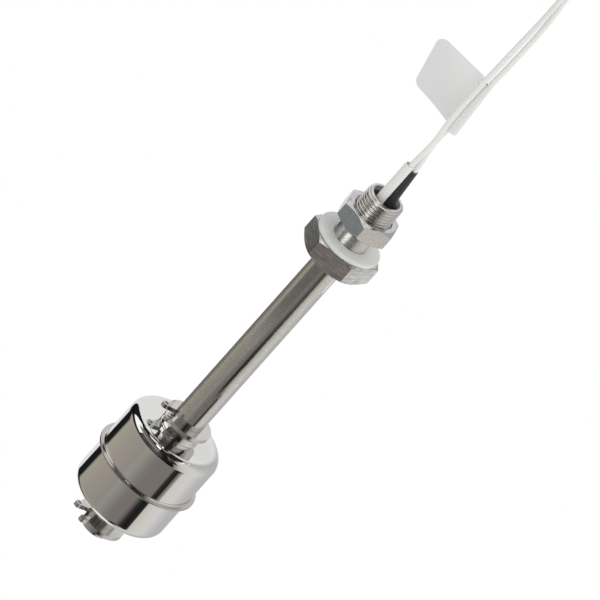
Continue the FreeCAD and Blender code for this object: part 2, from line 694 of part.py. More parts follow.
def build():
    """Every sub-part by its node's name."""
    upper_contact = reed_contact_upper()
    lower_contact = reed_contact_lower()
    upper_joint = upper_solder_joint(upper_contact)
    lower_joint = lower_solder_joint(lower_contact)
    glass = reed_glass([upper_contact, lower_contact])
    lead_a_inside = inner_lead_a()
    lead_b_inside = inner_lead_b()
    reed_filling = cylinder(
        REED_GLASS_R + REED_SLEEVE_WALL,
        REED_BOTTOM_Z - REED_SLEEVE_OVERHANG,
        REED_TOP_Z + REED_SLEEVE_OVERHANG,
        REED_X,
        REED_Y,
    )
    lead_a = round_tube(LEAD_A_ROUTE, LEAD_R, "lead a")
    lead_b = round_tube(LEAD_B_ROUTE, LEAD_R, "lead b")
    embedded = [upper_contact, lower_contact, upper_joint, lower_joint]
    embedded += [lead_a_inside, lead_b_inside, reed_filling]
    return {
        "stem_tube": stem_tube(),
        "stem_end_plug": stem_end_plug(),
        "mounting_fitting": mounting_fitting(),
        "sealing_gasket": sealing_gasket(),
        "lock_nut": lock_nut(),
        "upper_retaining_ring": retaining_ring(UPPER_RING_Z, UPPER_RING_AZIMUTH),
        "lower_retaining_ring": retaining_ring(LOWER_RING_Z, LOWER_RING_AZIMUTH),
        "float_upper_shell": float_shell(1),
        "float_lower_shell": float_shell(-1),
        "float_inner_tube": float_inner_tube(),
        "ring_magnet": ring_magnet(),
        "magnet_retainer_upper": magnet_retainer(1),
        "magnet_retainer_lower": magnet_retainer(-1),
        "reed_glass": glass,
        "reed_contact_upper": upper_contact,
        "reed_contact_lower": lower_contact,
        "upper_solder_joint": upper_joint,
        "lower_solder_joint": lower_joint,
        "reed_insulating_sleeve": reed_sleeve(),
        "stem_resin": stem_resin(embedded),
        "inner_lead_a": lead_a_inside,
        "inner_lead_b": lead_b_inside,
        "neck_potting": neck_potting([lead_a_inside, lead_b_inside]),
        "white_sleeve": white_sleeve(),
        "black_sleeve": black_sleeve(),
        "lead_wire_a": lead_a,
        "lead_wire_b": lead_b,
        "lead_hank_a": lead_hank(-1, lead_a),
        "lead_hank_b": lead_hank(1, lead_b),
        "hank_tie": hank_tie(),
        "wire_end_a": wire_end(-1),
        "wire_end_b": wire_end(1),
        "label_flag": label_flag(),
    }


os.makedirs("parts", exist_ok=True)
for node, shape in build().items():
    shape.exportStep(os.path.join("parts", node + ".step"))
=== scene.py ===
import bmesh
import bpy
import math
from mathutils import Matrix, Vector


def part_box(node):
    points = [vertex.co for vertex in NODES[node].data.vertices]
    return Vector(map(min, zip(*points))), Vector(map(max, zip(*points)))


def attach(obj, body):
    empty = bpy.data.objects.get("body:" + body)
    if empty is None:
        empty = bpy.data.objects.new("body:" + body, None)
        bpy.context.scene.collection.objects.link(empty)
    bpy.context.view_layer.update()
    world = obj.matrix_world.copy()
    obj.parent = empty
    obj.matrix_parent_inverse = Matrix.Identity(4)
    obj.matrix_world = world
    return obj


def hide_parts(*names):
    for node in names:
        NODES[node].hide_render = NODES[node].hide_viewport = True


# Float level switch on white. The frame is in metres: +Z runs up the stem to the thread,
# the camera looks towards +Y and down, and +X is to the right across the stem.
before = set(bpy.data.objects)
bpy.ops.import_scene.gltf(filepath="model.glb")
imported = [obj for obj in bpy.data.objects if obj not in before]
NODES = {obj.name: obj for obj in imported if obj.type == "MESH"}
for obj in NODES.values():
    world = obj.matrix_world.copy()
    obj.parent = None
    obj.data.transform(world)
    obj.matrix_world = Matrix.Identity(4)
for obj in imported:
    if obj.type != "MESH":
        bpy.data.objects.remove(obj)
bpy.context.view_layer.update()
MM = 0.001
DEGREE = math.pi / 180

# Camera: the stem's tilt towards the viewer, its slant in the picture, and what the frame covers.
TILT = 28.5 * DEGREE
SLANT = 48.35 * DEGREE
AIM = Vector((1.1, 0.0, -32.6)) * MM
VIEW_WIDTH = 228.4 * MM
LENS = 1600.0
SENSOR = 36.0
NEAREST_SEEN = 1
FARTHEST_SEEN = 100

# Mesh fineness: columns round a turned piece, and the angle beyond which an edge stays sharp.
SEGMENTS = 192
FLOAT_SEGMENTS = 512
SLEEVE_SEGMENTS = 64
HEX_COLUMNS = 6 * 24
THREAD_ROWS_PER_PITCH = 16
SHARP = 30 * DEGREE
HEX_SHARP = 20 * DEGREE
THREAD_SHARP = 50 * DEGREE
MERGE = 0.001 * MM

# Fitting: thread, the plain length below it with its tool marks, mouth, bore and hexagon.
THREAD_R = 8.0 * MM
THREAD_PITCH = 1.5 * MM
THREAD_DEPTH = 0.9 * MM
CREST_FLAT = 0.12
ROOT_FLAT = 0.18
RELIEF_R = 7.6 * MM
RELIEF_LENGTH = 7.0 * MM
TOOL_FEED = 0.25 * MM
TOOL_MARK = 0.1 * MM
THREAD_END_R = 7.25 * MM
MOUTH_R = 6.3 * MM
MOUTH_EDGE = 0.15 * MM
WELL_R = 5.9 * MM
NECK_BORE_FLOOR = 1.0 * MM
SOCKET_END_Z = -1.0 * MM
SOCKET_PLAY = 0.05 * MM
HEX_LOWER_FACE_R = 13.2 * MM
HEX_UPPER_FACE_R = 14.4 * MM
CHAMFER_SLOPE = math.tan(30 * DEGREE)

# Nut and gasket.
NUT_FACE_R = 10.6 * MM
NUT_TURN = 35.9 * DEGREE
NUT_COUNTERSINK = 0.8 * MM
NUT_PLAY = 0.05 * MM
NUT_ACROSS_FLATS = 22.0 * MM
GASKET_EDGE = 0.35 * MM
GASKET_PLAY = 0.08 * MM

# Stem.
STEM_R = 6.35 * MM
STEM_WALL = 1.65 * MM
TIP_ROUND = 0.6 * MM
GROOVE_DEPTH = 0.5 * MM
RING_PLAY = 0.05 * MM

# Float.
FLOAT_R = 20.5 * MM
FLOAT_CENTRE_Z = -130.85 * MM
FLOAT_CORNER_R = 4.2 * MM
SHELL_WALL = 0.6 * MM
SEAM_HALF = 0.45 * MM
SEAM_ROUND = 0.35 * MM
SEAM_ROOT_R = 0.6 * MM
WELD_START = 0.25 * MM
COLLAR_ROOT_R = 0.8 * MM
COLLAR_HEIGHT = 2.6 * MM
COLLAR_LIP_R = 0.25 * MM

# Relief of the surfaces.
STEEL_RELIEF = 0.1 * MM
PLASTIC_RELIEF = 0.2 * MM
WORN_EDGE = 0.3 * MM
NOISE_DETAIL = 3.0
MOTTLE_STOPS = (0.34, 0.5, 0.58, 0.69)

# Colour sockets of a Mix node.
MIX_A = 6
MIX_B = 7
MIX_RESULT = 2

# Sleeves, in mm: foot, top, radius and wall. Their cut ends are eased.
WHITE_SLEEVE = ((-1.7, -1.4, 12.0), (-1.7, -1.4, 43.3), 1.95, 0.4)
BLACK_SLEEVE = ((3.16, 1.37, 12.0), (0.87, 1.37, 41.1), 1.75, 0.3)
EASED_LENGTH = 0.15 * MM
EASED_DEPTH = 0.1 * MM

# Leads: the same routes as the solids, in mm, then the turns of each hank.
LEAD_R = 1.1 * MM
LEAD_A_ROUTE = [
    (-1.7, -1.4, 22.5),
    (-1.65, -1.4, 32.5),
    (-1.3, -1.4, 44.0),
    (-0.8, -1.42, 52.0),
    (-0.6, -1.42, 59.0),
    (-1.7, -1.4, 69.0),
    (-1.65, -1.38, 86.0),
    (-1.2, -1.34, 106.0),
    (-0.5, -1.3, 129.0),
    (-0.7, -1.25, 152.0),
]
LEAD_B_ROUTE = [
    (2.33, 1.37, 22.5),
    (1.48, 1.38, 32.8),
    (1.1, 1.42, 43.5),
    (-0.1, 1.5, 52.0),
    (-0.5, 1.55, 60.0),
    (0.6, 1.55, 70.0),
    (0.75, 1.53, 84.0),
    (1.6, 1.45, 104.0),
    (1.9, 1.35, 128.5),
    (-0.7, 1.25, 152.0),
]
HANK_X = -7.3
HANK_BOTTOM_Z = 152.0
HANK_RUN = 34.0
HANK_FOLD_R = 6.6
HANK_LAYER_Y = 1.25
HANK_PITCH = 2.2
HANK_TAIL = 7.0
HALF_TURNS_PER_LAYER = 2
HANK_LAYERS = 2
RUN_POINTS = 4
FOLD_POINTS = 6

# Studio, in metres and degrees. Azimuth 0 is the viewer's side.
FLOOR_Z = -1.25
FLOOR_REACH = 8.0
CARD_COLUMNS = 48
CARD_ROWS = 24
WALL_R = 1.2
BEFORE_WALL_R = 1.15
BEHIND_WALL_R = 1.25
WALL_RISE = (-78, 60)
EVEN = [(0.0, 1.0), (1.0, 1.0)]
FLOAT_CARD_R = 0.075
NEAR_CARD_R = 0.06
FLAT_RISE = (-42, -14)
NUT_CARD_Z = 13 * MM
HEXAGON_CARD_Z = -5 * MM
STEM_CARD_Z = -61 * MM
FLAG_X = -1.45 * STEM_R
FLAG_OVERLAP = 4 * MM
KEY_PLACE = (0.55, -0.35, 0.6)
KEY_SIZE = 0.5
KEY_ENERGY = 1.5


def finish_mesh(name, vertices, faces, sharp=SHARP):
    """New object from vertices and faces, smooth but for its sharp edges."""
    mesh = bpy.data.meshes.new(name)
    mesh.from_pydata(vertices, [], faces)
    mesh.update()
    mesh.polygons.foreach_set("use_smooth", [True] * len(mesh.polygons))
    mesh.set_sharp_from_angle(angle=sharp)
    piece = bpy.data.objects.new(name, mesh)
    bpy.context.scene.collection.objects.link(piece)
    return piece


def ring_faces(rows, columns):
    """Quads between rows of vertices that each go once round, the last row joined to the first."""
    faces = []
    for row in range(rows):
        above = (row + 1) % rows
        for column in range(columns):
            beside = (column + 1) % columns
            faces.append((
                row * columns + column,
                row * columns + beside,
                above * columns + beside,
                above * columns + column,
            ))
    return faces


def strip_faces(rows, columns):
    """Quads between rows of vertices that end at the last column."""
    faces = []
    for row in range(rows - 1):
        for column in range(columns - 1):
            first = row * columns + column
            faces.append((first, first + 1, first + columns + 1, first + columns))
    return faces


def round_point(radius, angle, height):
    """Point at a radius and angle round the stem's axis."""
    return Vector((radius * math.cos(angle), radius * math.sin(angle), height))


def lathe(name, outline, segments=SEGMENTS, placed=Matrix.Identity(4)):
    """Turned piece from a closed outline of (radius, height) points, anticlockwise."""
    vertices = []
    for radius, height in outline:
        for step in range(segments):
            vertices.append(placed @ round_point(radius, 2 * math.pi * step / segments, height))
    return finish_mesh(name, vertices, ring_faces(len(outline), segments))


def arc(centre, radius, start, end, steps=8):
    """Points of an arc in an outline, from a start to an end in degrees."""
    points = []
    for step in range(steps + 1):
        angle = (start + (end - start) * step / steps) * DEGREE
        points.append((centre[0] + radius * math.cos(angle), centre[1] + radius * math.sin(angle)))
    return points


def hexagon_radius(across_flats, turn, angle):
    """Distance from the axis to a hexagon's side in one direction."""
    offset = (angle - turn) % (math.pi / 3) - math.pi / 6
    return across_flats / 2 / math.cos(offset)


def hexagonal(name, across_flats, turn, bottom, top, faces_r, bore):
    """Hexagonal bar with its corners turned off at both faces, and a turned bore."""
    lower_r, upper_r = faces_r
    angles = [turn + 2 * math.pi * column / HEX_COLUMNS for column in range(HEX_COLUMNS)]
    sides = [hexagon_radius(across_flats, turn, angle) for angle in angles]
    rows = [
        [(min(lower_r, side), bottom) for side in sides],
        [(side, bottom + max(0.0, side - lower_r) * CHAMFER_SLOPE) for side in sides],
        [(side, top - max(0.0, side - upper_r) * CHAMFER_SLOPE) for side in sides],
        [(min(upper_r, side), top) for side in sides],
    ]
    rows += [[place] * HEX_COLUMNS for place in bore]
    vertices = []
    for row in rows:
        for angle, (radius, height) in zip(angles, row):
            vertices.append(round_point(radius, angle, height))
    return finish_mesh(name, vertices, ring_faces(len(rows), HEX_COLUMNS), HEX_SHARP)


def thread_radius(angle, height):
    """Radius of a right-hand thread at one place of its surface."""
    phase = (height / THREAD_PITCH - angle / (2 * math.pi)) % 1.0
    away = abs(phase - 0.5) * 2
    depth = (away - CREST_FLAT) / (1 - CREST_FLAT - ROOT_FLAT)
    depth = min(1.0, max(0.0, depth))
    return THREAD_R - THREAD_DEPTH * depth * depth * (3 - 2 * depth)


def relief_piece():
    """Turned cylinder below the thread, with its tool marks."""
    lines = int(RELIEF_LENGTH / TOOL_FEED)
    outline = [(WELL_R, 0.0)]
    for line in range(lines + 1):
        outline.append((RELIEF_R - TOOL_MARK * (line % 2), RELIEF_LENGTH * line / lines))
    outline.append((WELL_R, RELIEF_LENGTH))
    return lathe("fitting_relief", outline)


def threaded_neck():
    """Thread, chamfered end and bored mouth. The rows of points climb with the thread."""
    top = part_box("mounting_fitting")[1].z
    turns = int((top - RELIEF_LENGTH) / THREAD_PITCH) + 2
    vertices = []
    for row in range(turns * THREAD_ROWS_PER_PITCH + 1):
        for column in range(SEGMENTS + 1):
            share = column / SEGMENTS
            angle = 2 * math.pi * share
            rise = THREAD_PITCH * (row / THREAD_ROWS_PER_PITCH + share - 1)
            height = min(top, RELIEF_LENGTH + max(0.0, rise))
            run_out = min(1.0, (height - RELIEF_LENGTH) / THREAD_PITCH)
            radius = RELIEF_R + (thread_radius(angle, height) - RELIEF_R) * run_out
            radius = min(radius, THREAD_END_R + (top - height))
            vertices.append(round_point(radius, angle, height))
    for radius, height in (
        (THREAD_END_R - MOUTH_EDGE, top),
        (MOUTH_R, top),
        (WELL_R, top - (MOUTH_R - WELL_R)),
        (WELL_R, NECK_BORE_FLOOR),
    ):
        for column in range(SEGMENTS + 1):
            vertices.append(round_point(radius, 2 * math.pi * column / SEGMENTS, height))
    rows = len(vertices) // (SEGMENTS + 1)
    neck = finish_mesh("fitting_neck", vertices, strip_faces(rows, SEGMENTS + 1), THREAD_SHARP)
    merged = bmesh.new()
    merged.from_mesh(neck.data)
    bmesh.ops.remove_doubles(merged, verts=merged.verts, dist=MERGE)
    merged.to_mesh(neck.data)
    merged.free()
    return neck


def put(piece, body, slot, material, *replaced):
    """Give a piece its material, let it ride on its body, and hide what it replaces. The slot is not used.
    """
    piece.data.materials.clear()
    piece.data.materials.append(material)
    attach(piece, body)
    if replaced:
        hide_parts(*replaced)
    return piece


def paint_node(name, material):
    """Give a CAD piece that stays visible its material."""
    NODES[name].data.materials.clear()
    NODES[name].data.materials.append(material)


class Nodes:
    """Short way to add and join the nodes of one material."""

    def __init__(self, name):
        self.material = bpy.data.materials.new(name)
        self.material.use_nodes = True
        self.tree = self.material.node_tree
        self.shader = self.tree.nodes["Principled BSDF"]

    def add(self, kind, **values):
        node = self.tree.nodes.new(kind)
        for key, value in values.items():
            if key in node.inputs:
                node.inputs[key].default_value = value
            else:
                setattr(node, key, value)
        return node

    def join(self, source, target):
        self.tree.links.new(source, target)

    def set(self, **values):
        for key, value in values.items():
            self.shader.inputs[key.replace("_", " ")].default_value = value

    def place(self, scale):
        """Coordinates of the frame, stretched by a scale for each axis."""
        coordinates = self.add("ShaderNodeTexCoord")
        mapping = self.add("ShaderNodeMapping")
        mapping.inputs["Scale"].default_value = scale
        self.join(coordinates.outputs["Object"], mapping.inputs["Vector"])
        return mapping.outputs["Vector"]

    def noise(self, scale, stretch=(1, 1, 1)):
        texture = self.add("ShaderNodeTexNoise", Scale=scale, Detail=NOISE_DETAIL)
        self.join(self.place(stretch), texture.inputs["Vector"])
        return texture.outputs["Fac"]

    def ramp(self, source, stops):
        """Colour or grey by the source's value, from (place, tone) stops."""
        ramp = self.add("ShaderNodeValToRGB")
        elements = ramp.color_ramp.elements
        while len(elements) < len(stops):
            elements.new(0.5)
        for element, (place, value) in zip(elements, stops):
            element.position = place
            colour = value if isinstance(value, tuple) else (value, value, value)
            element.color = (*colour, 1)
        self.join(source, ramp.inputs["Fac"])
        return ramp.outputs["Color"]

    def bump(self, height, strength, distance, edge=0.0):
        """Relief of the surface, over rounded edges where an edge radius is given."""
        bump = self.add("ShaderNodeBump", Strength=strength, Distance=distance)
        self.join(height, bump.inputs["Height"])
        if edge:
            bevel = self.add("ShaderNodeBevel", Radius=edge, samples=4)
            self.join(bevel.outputs["Normal"], bump.inputs["Normal"])
        self.join(bump.outputs["Normal"], self.shader.inputs["Normal"])


def steel(name, colour, roughness, mottle=None, relief=0.0, edge=0.0):
    """Bare stainless steel. Mottle is its noise scale, stretch, darkest share and lightest share."""
    nodes = Nodes(name)
    nodes.set(Metallic=1.0, Base_Color=(*colour, 1), Roughness=roughness)
    if mottle:
        scale, stretch, dark, light = mottle
        mark = nodes.noise(scale, stretch)
        tones = [tuple(min(1.0, share * part) for part in colour) for share in (dark, 1.0, 1.0, light)]
        tone = nodes.ramp(mark, list(zip(MOTTLE_STOPS, tones)))
        nodes.join(tone, nodes.shader.inputs["Base Color"])
        nodes.bump(mark, relief, STEEL_RELIEF, edge)
    return nodes.material


def plastic(name, colour, roughness, relief=0.0, scale=900):
    """Plain plastic, resin or rubber, with a fine relief where its strength is given."""
    nodes = Nodes(name)
    nodes.set(Base_Color=(*colour, 1), Roughness=roughness)
    if relief:
        nodes.bump(nodes.noise(scale), relief, PLASTIC_RELIEF)
    return nodes.material


def clear_glass():
    """Glass of the reed switch."""
    nodes = Nodes("clear glass")
    nodes.set(Base_Color=(0.85, 0.95, 0.9, 1), Roughness=0.03, Transmission_Weight=0.9, IOR=1.5)
    return nodes.material


def stem_pieces():
    """Tube with its grooves and rounded tip."""
    low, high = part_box("stem_tube")
    bore_r = STEM_R - STEM_WALL
    outline = [(bore_r, low.z)]
    outline += arc((STEM_R - TIP_ROUND, low.z + TIP_ROUND), TIP_ROUND, -90, 0)
    for ring in ("lower_retaining_ring", "upper_retaining_ring"):
        bottom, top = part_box(ring)
        outline += [
            (STEM_R, bottom.z - RING_PLAY),
            (STEM_R - GROOVE_DEPTH, bottom.z - RING_PLAY),
            (STEM_R - GROOVE_DEPTH, top.z + RING_PLAY),
            (STEM_R, top.z + RING_PLAY),
        ]
    outline += [(STEM_R, high.z), (bore_r, high.z)]
    tube = lathe("stem", outline)
    satin = steel(
        "satin steel", (0.74, 0.73, 0.705), 0.13, mottle=(1900, (1, 1, 0.6), 0.88, 1.35), relief=0.15
    )
    put(tube, "stem", "satin_stainless", satin, "stem_tube")


def float_shell(name, side, polish, weld):
    """Half of the float with its seam flange and collar. Side is 1 for the upper half, -1 for the lower."""
    low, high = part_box("float_upper_shell")
    seam_z = low.z
    half = high.z - COLLAR_HEIGHT - low.z
    seam_r = high.x
    tube_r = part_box("float_inner_tube")[1].x
    collar_r = tube_r + SHELL_WALL
    corner = (FLOAT_R - FLOAT_CORNER_R, half - FLOAT_CORNER_R)
    outline = [(seam_r, 0.0)]
    outline += arc((seam_r - SEAM_ROUND, SEAM_HALF - SEAM_ROUND), SEAM_ROUND, 0, 90)
    outline += arc((FLOAT_R + SEAM_ROOT_R, SEAM_HALF + SEAM_ROOT_R), SEAM_ROOT_R, 270, 180, 6)
    outline += arc(corner, FLOAT_CORNER_R, 0, 90, 24)
    outline += arc((collar_r + COLLAR_ROOT_R, half + COLLAR_ROOT_R), COLLAR_ROOT_R, 270, 180)
    lip = (collar_r - COLLAR_LIP_R, half + COLLAR_HEIGHT - COLLAR_LIP_R)
    outline += arc(lip, COLLAR_LIP_R, 0, 90, 4)
    outline += [(tube_r, half + COLLAR_HEIGHT), (tube_r, half - SHELL_WALL)]
    outline += arc(corner, FLOAT_CORNER_R - SHELL_WALL, 90, 0, 8)
    outline += [(FLOAT_R - SHELL_WALL, 0.0)]
    points = [(radius, seam_z + side * height) for radius, height in outline]
    if side < 0:
        points.reverse()
    shell = lathe(name, points, FLOAT_SEGMENTS)
    put(shell, "float", "polished_stainless", polish, name.replace("shell_", ""))
    shell.data.materials.append(weld)
    for face in shell.data.polygons:
        if Vector(face.center[:2]).length > FLOAT_R + WELD_START:
            face.material_index = 1


def float_pieces():
    """Both shells and the tube they are welded to."""
    polish = steel("mirror polish", (0.86, 0.855, 0.84), 0.035)
    weld = steel("welded seam", (0.64, 0.6, 0.55), 0.24)
    float_shell("shell_float_upper_shell", 1, polish, weld)
    float_shell("shell_float_lower_shell", -1, polish, weld)
    paint_node("float_inner_tube", polish)


def fitting_pieces():
    """Hexagon and threaded neck."""
    low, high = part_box("mounting_fitting")
    across = high.y - low.y
    stem_r = STEM_R + SOCKET_PLAY
    bore = [(WELL_R, 0.0), (WELL_R, SOCKET_END_Z), (stem_r, SOCKET_END_Z), (stem_r, low.z)]
    hexagon = hexagonal(
        "fitting_hexagon", across, 0.0, low.z, 0.0, (HEX_LOWER_FACE_R, HEX_UPPER_FACE_R), bore
    )
    drawn = steel(
        "drawn bar",
        (0.66, 0.64, 0.637),
        0.27,
        mottle=(800, (0.3, 0.3, 2.5), 0.72, 1.5),
        relief=0.3,
        edge=WORN_EDGE,
    )
    put(hexagon, "stem", "turned_stainless", drawn, "mounting_fitting")
    turned = steel("turned steel", (0.77, 0.755, 0.73), 0.28)
    put(relief_piece(), "stem", "turned_stainless", turned)
    neck = put(threaded_neck(), "stem", "turned_stainless", turned)
    # The steel bore wall inside the mouth gets a dark grey colour that is not metal: painted shade for the
    # recess.
    neck.data.materials.append(plastic("bore wall with painted shade", (0.29, 0.293, 0.29), 0.45))
    for face in neck.data.polygons:
        if Vector(face.center[:2]).length < MOUTH_R:
            face.material_index = 1


def nut_piece():
    """Lock nut."""
    low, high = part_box("lock_nut")
    bore_r = THREAD_R + NUT_PLAY
    wide_r = bore_r + NUT_COUNTERSINK
    bore = [
        (wide_r, high.z),
        (bore_r, high.z - NUT_COUNTERSINK),
        (bore_r, low.z + NUT_COUNTERSINK),
        (wide_r, low.z),
    ]
    nut = hexagonal("nut", NUT_ACROSS_FLATS, NUT_TURN, low.z, high.z, (NUT_FACE_R, NUT_FACE_R), bore)
    forged = steel(
        "nut steel",
        (0.64, 0.645, 0.64),
        0.18,
        mottle=(1500, (1, 1, 1), 0.9, 1.3),
        relief=0.15,
        edge=WORN_EDGE,
    )
    put(nut, "nut", "turned_stainless", forged, "lock_nut")


def gasket_piece():
    """Milky gasket with eased edges."""
    low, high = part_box("sealing_gasket")
    outer = high.x
    inner = RELIEF_R + GASKET_PLAY
    outline = [(inner, low.z), (outer - GASKET_EDGE, low.z)]
    outline += arc((outer - GASKET_EDGE, low.z + GASKET_EDGE), GASKET_EDGE, -90, 0, 5)
    outline += arc((outer - GASKET_EDGE, high.z - GASKET_EDGE), GASKET_EDGE, 0, 90, 5)
    outline += [(inner, high.z)]
    milky = plastic("milky rubber", (0.73, 0.735, 0.72), 0.3)
    put(lathe("gasket", outline), "stem", "milky_rubber", milky, "sealing_gasket")


def hank_points(side):
    """Turns of a hank from the top of the route to the end of its tail, in mm. Side is 1 or -1."""
    points = []
    layer_y = side * HANK_LAYER_Y
    next_y = side * (HANK_LAYER_Y + HANK_PITCH)
    spacing = HANK_RUN / RUN_POINTS
    fold_r = HANK_FOLD_R / math.cos(math.pi / FOLD_POINTS / 2)
    half_turns = HANK_LAYERS * HALF_TURNS_PER_LAYER
    for half_turn in range(half_turns):
        up = half_turn % 2 == 0
        x = HANK_X + (HANK_FOLD_R if up else -HANK_FOLD_R)
        y = layer_y if half_turn < HALF_TURNS_PER_LAYER else next_y
        for step in range(1, RUN_POINTS):
            height = HANK_BOTTOM_Z + (spacing * step if up else HANK_RUN - spacing * step)
            points.append((x, y, height))
        if half_turn == half_turns - 1:
            break
        steps_over = half_turn == HALF_TURNS_PER_LAYER - 1
        centre_z = HANK_BOTTOM_Z + (HANK_RUN if up else 0.0)
        for step in range(FOLD_POINTS):
            angle = math.pi * (step + 0.5) / FOLD_POINTS
            turn = angle if up else angle + math.pi
            share = (step + 0.5) / FOLD_POINTS if steps_over else 0.0
            points.append((
                HANK_X + fold_r * math.cos(turn),
                y + (next_y - layer_y) * share,
                centre_z + fold_r * math.sin(turn),
            ))
    points.append((HANK_X - HANK_FOLD_R, next_y, HANK_BOTTOM_Z))
    points.append((HANK_X - HANK_FOLD_R, next_y, HANK_BOTTOM_Z - HANK_TAIL))
    return points


def lead(name, route, side, material, replaced):
    """One insulated wire as a smooth curve from the resin to its bare end."""
    data = bpy.data.curves.new(name, "CURVE")
    data.dimensions = "3D"
    data.bevel_depth = LEAD_R
    data.bevel_resolution = 6
    data.resolution_u = 10
    data.use_fill_caps = True
    points = route + hank_points(side)
    spline = data.splines.new("NURBS")
    spline.points.add(len(points) - 1)
    for point, place in zip(spline.points, points):
        point.co = (*(Vector(place) * MM), 1)
    spline.order_u = 3
    spline.use_endpoint_u = True
    wire = bpy.data.objects.new(name, data)
    bpy.context.scene.collection.objects.link(wire)
    put(wire, "stem", "white_insulation", material, *replaced)


def lead_pieces():
    """Both leads."""
    insulation = plastic("white insulation", (0.86, 0.86, 0.85), 0.22)
    lead("lead_a", LEAD_A_ROUTE, -1, insulation, ("lead_wire_a", "lead_hank_a"))
    lead("lead_b", LEAD_B_ROUTE, 1, insulation, ("lead_wire_b", "lead_hank_b"))


def sleeve_piece(name, foot, top, radius, wall, material, slot):
    """Sleeve round a lead, sized in mm, with its cut end slightly eased."""
    along = Vector(top) * MM - Vector(foot) * MM
    placed = Matrix.Translation(Vector(foot) * MM) @ along.to_track_quat("Z", "Y").to_matrix().to_4x4()
    height = along.length
    radius *= MM
    wall *= MM
    outline = [
        (radius - wall, 0.0),
        (radius, 0.0),
        (radius, height - EASED_LENGTH),
        (radius - EASED_DEPTH, height),
        (radius - wall, height),
    ]
    piece = lathe(name + "_tube", outline, SLEEVE_SEGMENTS, placed)
    put(piece, "stem", slot, material, name)


def sleeve_pieces():
    """White and black sleeves."""
    white = plastic("white sleeving", (0.84, 0.84, 0.82), 0.35)
    black = plastic("black sleeving", (0.035, 0.035, 0.038), 0.42, 0.2, 600)
    sleeve_piece("white_sleeve", *WHITE_SLEEVE, white, "white_sleeving")
    sleeve_piece("black_sleeve", *BLACK_SLEEVE, black, "black_sleeving")
    paint_node("reed_insulating_sleeve", black)


def plain_nodes():
    """Materials of the CAD pieces that are shown as they are."""
    stamped = steel("ring steel", (0.7, 0.69, 0.67), 0.16)
    alloy = steel("contact alloy", (0.66, 0.64, 0.6), 0.2)
    solder = steel("solder", (0.7, 0.7, 0.72), 0.25)
    resin = plastic("black resin", (0.012, 0.012, 0.013), 0.25, 0.6, 500)
    insulation = plastic("inner insulation", (0.86, 0.86, 0.85), 0.22)
    copper = steel("tinned copper", (0.75, 0.73, 0.68), 0.25)
    paint = {
        "stem_end_plug": steel("plug steel", (0.6, 0.59, 0.58), 0.25),
        "upper_retaining_ring": stamped,
        "lower_retaining_ring": stamped,
        "magnet_retainer_upper": stamped,
        "magnet_retainer_lower": stamped,
        "ring_magnet": plastic("ferrite", (0.05, 0.05, 0.055), 0.6, 0.2),
        "reed_glass": clear_glass(),
        "reed_contact_upper": alloy,
        "reed_contact_lower": alloy,
        "upper_solder_joint": solder,
        "lower_solder_joint": solder,
        "stem_resin": resin,
        "neck_potting": resin,
        "inner_lead_a": insulation,
        "inner_lead_b": insulation,
        "hank_tie": plastic("tie nylon", (0.8, 0.8, 0.78), 0.35),
        "wire_end_a": copper,
        "wire_end_b": copper,
        "label_flag": plastic("label film", (0.8, 0.8, 0.81), 0.32),
    }
    for name, material in paint.items():
        paint_node(name, material)


def card(name, azimuths, elevations, pattern, strength=1.0, radius=WALL_R, centre_z=0.0):
    """Curved panel round the object that only reflections see. Its pattern is a ramp across and one up."""
    vertices, places = [], []
    for row in range(CARD_ROWS + 1):
        for column in range(CARD_COLUMNS + 1):
            across = column / CARD_COLUMNS
            up = row / CARD_ROWS
            azimuth = (azimuths[0] + (azimuths[1] - azimuths[0]) * across) * DEGREE
            elevation = (elevations[0] + (elevations[1] - elevations[0]) * up) * DEGREE
            vertices.append((
                radius * math.sin(azimuth) * math.cos(elevation),
                -radius * math.cos(azimuth) * math.cos(elevation),
                centre_z + radius * math.sin(elevation),
            ))
            places.append((across, up))
    panel = finish_mesh(name, vertices, strip_faces(CARD_ROWS + 1, CARD_COLUMNS + 1))
    layer = panel.data.uv_layers.new(name="place")
    for loop in panel.data.loops:
        layer.data[loop.index].uv = places[loop.vertex_index]
    panel.data.materials.append(card_material(name, pattern, strength))
    only_reflected(panel)


def card_material(name, pattern, strength):
    """Light of a panel: one ramp across it times one ramp up it."""
    nodes = Nodes(name)
    place = nodes.add("ShaderNodeUVMap", uv_map="place")
    split = nodes.add("ShaderNodeSeparateXYZ")
    nodes.join(place.outputs["UV"], split.inputs["Vector"])
    across = nodes.ramp(split.outputs["X"], pattern[0])
    up = nodes.ramp(split.outputs["Y"], pattern[1])
    both = nodes.add("ShaderNodeMix", data_type="RGBA", blend_type="MULTIPLY")
    both.inputs[0].default_value = 1.0
    nodes.join(across, both.inputs[MIX_A])
    nodes.join(up, both.inputs[MIX_B])
    light = nodes.add("ShaderNodeEmission", Strength=strength)
    nodes.join(both.outputs[MIX_RESULT], light.inputs["Color"])
    nodes.join(light.outputs["Emission"], nodes.tree.nodes["Material Output"].inputs["Surface"])
    return nodes.material


def sheet(name, corners, colour):
    """Flat stage piece of even light."""
    panel = finish_mesh(name, corners, [(0, 1, 2, 3)])
    nodes = Nodes(name)
    light = nodes.add("ShaderNodeEmission", Color=(*colour, 1))
    nodes.join(light.outputs["Emission"], nodes.tree.nodes["Material Output"].inputs["Surface"])
    panel.data.materials.append(nodes.material)
    only_reflected(panel)


